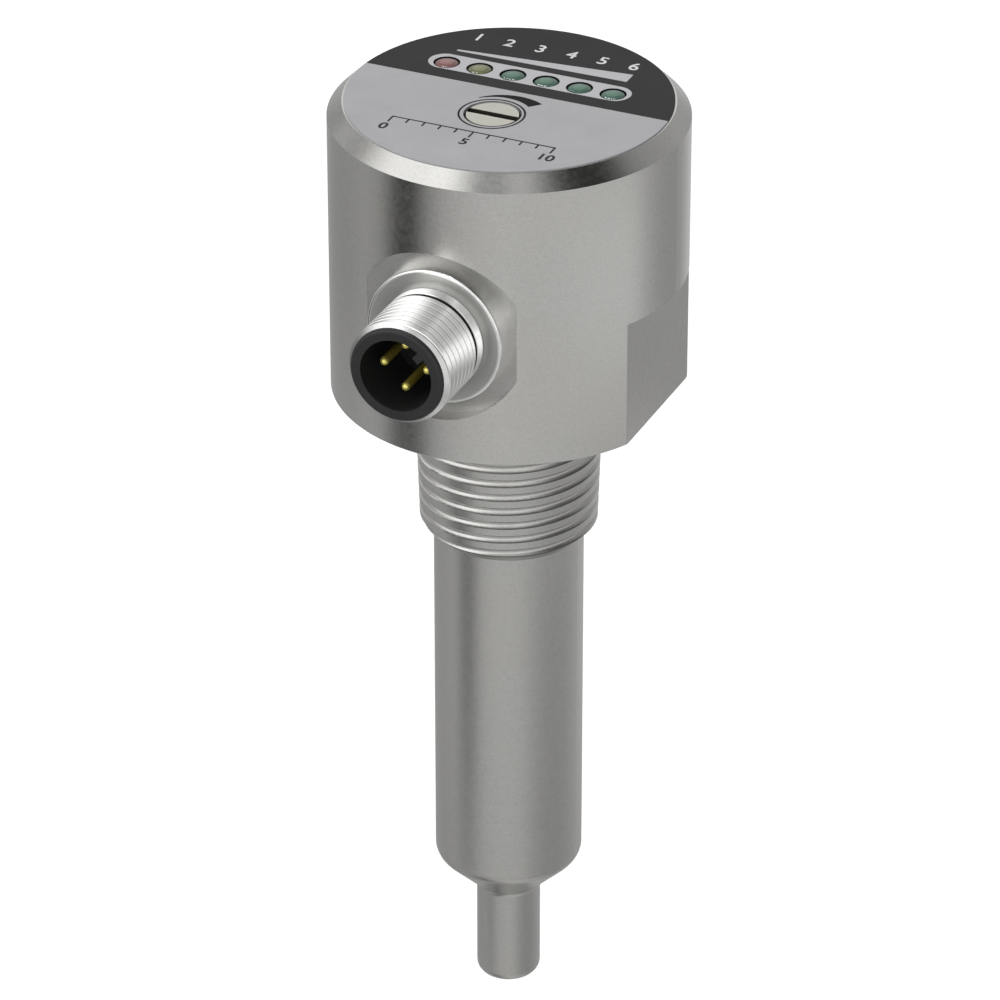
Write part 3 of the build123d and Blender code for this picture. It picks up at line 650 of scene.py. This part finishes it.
# a one-sided reflector card under the housing: it lights the lower flanks of the pipe thread
ring_v, ring_f = [], []
for i in range(STEPS):
    t = 2 * math.pi * i / STEPS
    for r in (9.4, 19.6):
        ring_v.append((r * math.cos(t) * MM, r * math.sin(t) * MM, -0.05 * MM))
for i in range(STEPS):
    j = (i + 1) % STEPS
    ring_f.append((2 * i, 2 * j, 2 * j + 1, 2 * i + 1))
me = bpy.data.meshes.new("studio_card_under")
me.from_pydata(ring_v, [], ring_f)
under = bpy.data.objects.new("studio_card_under", me)
bpy.context.scene.collection.objects.link(under)
under.visible_camera = False
under.visible_diffuse = False
under.visible_shadow = False
under.visible_transmission = False
um, n = new_mat("studio_card_under")
co = n.n("ShaderNodeTexCoord").outputs["Object"]
spin = n.n("ShaderNodeVectorRotate", rotation_type="Z_AXIS")
n.put(spin.inputs["Vector"], co)
spin.inputs["Angle"].default_value = math.radians(90 - VIEW_AZ)
xyz = n.n("ShaderNodeSeparateXYZ", ins={"Vector": spin.outputs[0]})
u = n.rng(n.math("ARCTAN2", xyz.outputs[1], xyz.outputs[0]), -math.pi, math.pi)
rad = n.math("SQRT", n.math("ADD", n.math("MULTIPLY", xyz.outputs[0], xyz.outputs[0]), n.math("MULTIPLY", xyz.outputs[1], xyz.outputs[1])))
glow_u = n.ramp(u, stops([
    (-180, 0.8), (-130, 1.1), (-95, 1.6), (-65, 1.65), (-45, 1.40), (-30, 1.10), (-10, 0.78), (8, 0.86), (20, 0.76), (38, 0.34),
    (60, 0.10), (85, 0.10), (110, 0.3), (140, 0.5), (180, 0.8)]))
glow_u = n.mix(n.rng(rad, 0.0102, 0.0118, 0.30, 0.0), glow_u, (0.10, 0.10, 0.095))
glow = n.n("ShaderNodeEmission", ins={"Strength": 1.0})
n.put(glow.inputs["Color"], glow_u)
gone = n.n("ShaderNodeBsdfTransparent")
mx = n.n("ShaderNodeMixShader")
n.put(mx.inputs[0], n.n("ShaderNodeNewGeometry").outputs["Backfacing"])
n.t.links.new(glow.outputs[0], mx.inputs[1])
n.t.links.new(gone.outputs[0], mx.inputs[2])
out = n.n("ShaderNodeOutputMaterial")
n.t.links.new(mx.outputs[0], out.inputs[0])
um.cycles.emission_sampling = "NONE"
me.materials.append(um)

# a small one-sided reflector card round the plug connector's root: it gives the threads their lengthways sheen
CARD_Y, CARD_Z = -20.06, 15.0
card_v, card_f = [], []
for i in range(STEPS):
    t = 2 * math.pi * i / STEPS
    for r in (5.98, 15.0):
        card_v.append((r * math.cos(t) * MM, CARD_Y * MM, (CARD_Z + r * math.sin(t)) * MM))
for i in range(STEPS):
    j = (i + 1) % STEPS
    card_f.append((2 * i, 2 * i + 1, 2 * j + 1, 2 * j))
me = bpy.data.meshes.new("studio_card")
me.from_pydata(card_v, [], card_f)
card = bpy.data.objects.new("studio_card", me)
bpy.context.scene.collection.objects.link(card)
card.visible_camera = False
card.visible_diffuse = False
card.visible_shadow = False
card.visible_transmission = False
cm, n = new_mat("studio_card")
co = n.n("ShaderNodeTexCoord").outputs["Object"]
xyz = n.n("ShaderNodeSeparateXYZ", ins={"Vector": co})
u = n.rng(n.math("ARCTAN2", n.math("SUBTRACT", xyz.outputs[2], CARD_Z * MM), xyz.outputs[0]), -math.pi, math.pi)
sheen = n.ramp(u, stops([
    (-180, 0.30), (-61, 0.30), (-48, 0.34), (-21, 0.33), (-13, 0.44), (-5, 0.72), (5, 1.08), (18, 1.02), (28, 0.62), (38, 0.48),
    (50, 0.50), (62, 0.66), (69, 0.50), (76, 0.42), (86, 0.56), (96, 0.98), (104, 1.22), (118, 1.15), (131, 0.86), (145, 0.52),
    (158, 0.32), (180, 0.30)]))
glow = n.n("ShaderNodeEmission", ins={"Strength": 1.0})
n.put(glow.inputs["Color"], sheen)
gone = n.n("ShaderNodeBsdfTransparent")
mx = n.n("ShaderNodeMixShader")
n.put(mx.inputs[0], n.n("ShaderNodeNewGeometry").outputs["Backfacing"])
n.t.links.new(glow.outputs[0], mx.inputs[1])
n.t.links.new(gone.outputs[0], mx.inputs[2])
out = n.n("ShaderNodeOutputMaterial")
n.t.links.new(mx.outputs[0], out.inputs[0])
cm.cycles.emission_sampling = "NONE"
me.materials.append(cm)

# ------------------------------------------------------------------ camera
cam_data = bpy.data.cameras.new("camera")
cam_data.lens = 207.0
cam_data.sensor_width = 36.0
cam_data.clip_start = 0.01
cam_data.clip_end = 50.0
cam = bpy.data.objects.new("camera", cam_data)
bpy.context.scene.collection.objects.link(cam)
cam.location = (0.23190, -0.51840, 0.30658)
cam.rotation_euler = (math.radians(60.4354), 0, math.radians(VIEW_AZ))
bpy.context.scene.camera = cam
bpy.context.scene.view_settings.view_transform = "Standard"
bpy.context.scene.view_settings.look = "None"
